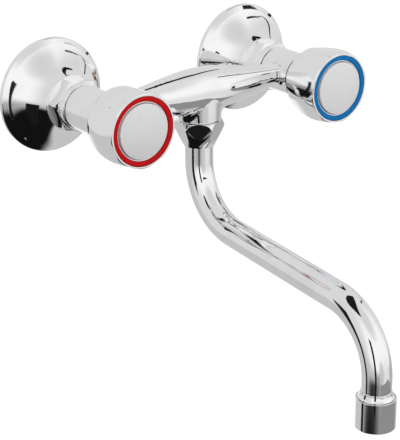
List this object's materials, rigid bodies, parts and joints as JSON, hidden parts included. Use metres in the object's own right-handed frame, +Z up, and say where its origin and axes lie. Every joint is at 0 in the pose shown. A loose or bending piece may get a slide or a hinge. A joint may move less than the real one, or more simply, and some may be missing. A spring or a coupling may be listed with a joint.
{
  "type": "wall-mounted kitchen tap",
  "caption": "Wall-mounted kitchen tap with hot and cold screw-down handles, eccentric wall unions with roses, and a swivel S-shaped tube spout with aerator.",
  "frame": {"origin": "on the wall face, midway between the two pipe threads of the wall unions", "axes": "+Y into the wall along the pipe threads, +X along the wall towards the cold side, +Z up; the tap faces -Y"},
  "size_m": [0.222, 0.2468, 0.1978],
  "materials": {
    "chrome_plate": "polished chrome plate over brass",
    "satin_cap": "satin chrome plate",
    "index_red": "glossy red",
    "index_blue": "glossy blue",
    "raw_brass": "turned, uncoated",
    "spring_steel": "plain",
    "screen_steel": "woven stainless",
    "black_rubber": "matt",
    "fibre": "pressed fibre",
    "white_plastic": "moulded",
    "grey_plastic": "moulded"
  },
  "bodies": {
    "tap_body": {"body": "chrome_plate", "swivel_nut": "chrome_plate", "spout_slip_ring": "white_plastic", "eccentric_union_hot": "raw_brass", "eccentric_union_cold": "raw_brass", "rose_hot": "chrome_plate", "rose_cold": "chrome_plate", "union_nut_hot": "chrome_plate", "union_nut_cold": "chrome_plate", "inlet_washer_hot": "fibre", "inlet_washer_cold": "fibre", "union_snap_ring_hot": "spring_steel", "union_snap_ring_cold": "spring_steel", "bonnet_gasket_hot": "fibre", "bonnet_gasket_cold": "fibre", "bonnet_hot": "raw_brass", "bonnet_cold": "raw_brass"},
    "hot_handle": {"handle_hot": "chrome_plate", "index_ring_hot": "index_red", "handle_cap_hot": "satin_cap", "handle_screw_hot": "spring_steel", "spindle_hot": "raw_brass", "spindle_seals_hot": "black_rubber", "spindle_clip_hot": "spring_steel"},
    "hot_jumper": {"jumper_hot": "raw_brass", "seat_washer_hot": "black_rubber", "washer_screw_hot": "raw_brass"},
    "cold_handle": {"handle_cold": "chrome_plate", "index_ring_cold": "index_blue", "handle_cap_cold": "satin_cap", "handle_screw_cold": "spring_steel", "spindle_cold": "raw_brass", "spindle_seals_cold": "black_rubber", "spindle_clip_cold": "spring_steel"},
    "cold_jumper": {"jumper_cold": "raw_brass", "seat_washer_cold": "black_rubber", "washer_screw_cold": "raw_brass"},
    "spout": {"spout_tube": "chrome_plate", "spout_bush": "raw_brass", "spout_seals": "black_rubber", "spout_end_bush": "chrome_plate", "aerator_housing": "chrome_plate", "aerator_washer": "black_rubber", "aerator_insert": "grey_plastic", "aerator_screen": "screen_steel"}
  },
  "joints": [
    {"name": "hot_handle_turn", "type": "hinge", "parent": "tap_body", "child": "hot_handle", "pos_m": [-0.075, -0.08, 0.008], "axis": [0, -1, 0], "range_deg": [0, 900]},
    {"name": "hot_jumper_lift", "type": "slide", "parent": "tap_body", "child": "hot_jumper", "axis": [0, -1, 0], "range_m": [0, 0.005]},
    {"name": "cold_handle_turn", "type": "hinge", "parent": "tap_body", "child": "cold_handle", "pos_m": [0.075, -0.08, 0.008], "axis": [0, -1, 0], "range_deg": [0, 900]},
    {"name": "cold_jumper_lift", "type": "slide", "parent": "tap_body", "child": "cold_jumper", "axis": [0, -1, 0], "range_m": [0, 0.005]},
    {"name": "spout_swivel", "type": "hinge", "parent": "tap_body", "child": "spout", "pos_m": [0, -0.0536, -0.01], "axis": [0, 0, 1], "range_deg": [-95, 95]}
  ],
  "couplings": [
    {"joint": "hot_jumper_lift", "follows": "hot_handle_turn", "m_per_rad": 0.0003183},
    {"joint": "cold_jumper_lift", "follows": "cold_handle_turn", "m_per_rad": 0.0003183}
  ]
}
